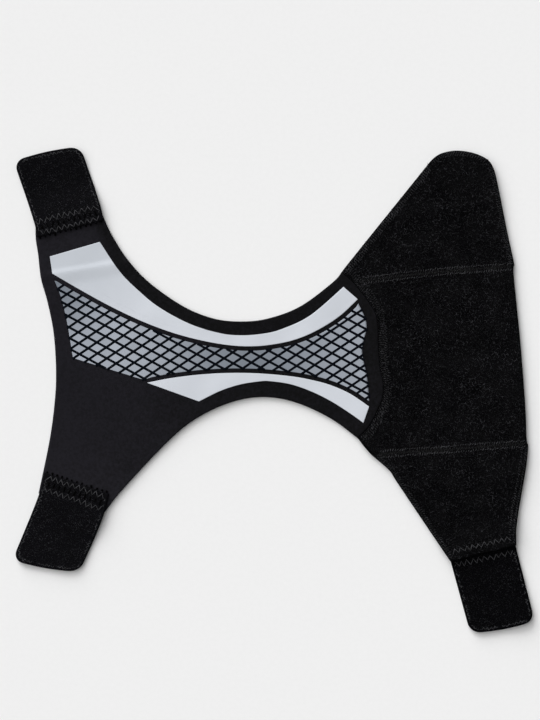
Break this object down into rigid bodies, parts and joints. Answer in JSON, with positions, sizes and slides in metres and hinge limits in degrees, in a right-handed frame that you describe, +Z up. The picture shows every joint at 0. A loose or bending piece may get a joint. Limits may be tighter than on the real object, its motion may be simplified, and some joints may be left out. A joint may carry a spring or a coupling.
{
  "type": "ankle brace",
  "caption": "Wrap ankle brace lying open and face up: narrow-waisted foam front panel with printed bands, loop pile heel panels and fastening tabs.",
  "frame": {"origin": "on the table, under the middle of the object's box", "axes": "+X to the right of the picture, towards the heel panels; +Y up the picture; +Z up from the table, the way the printed face looks"},
  "size_m": [0.3872, 0.3628, 0.0079],
  "materials": {
    "front_laminate": "smooth black knit on foam, matt",
    "light_film": "light grey pressed film, satin",
    "net_film": "mid grey pressed film with a black diamond net, satin",
    "loop_pile": "black brushed loop pile",
    "tab_tape": "black fastening tape with short pile"
  },
  "bodies": {
    "root": {"front_panel": "front_laminate", "upper_band": "light_film", "lower_band": "light_film", "net_film": "net_film", "upper_loop_panel": "loop_pile", "middle_loop_panel": "loop_pile", "lower_loop_panel": "loop_pile", "upper_front_tab": "tab_tape", "lower_front_tab": "tab_tape", "back_tab": "tab_tape"}
  },
  "joints": []
}
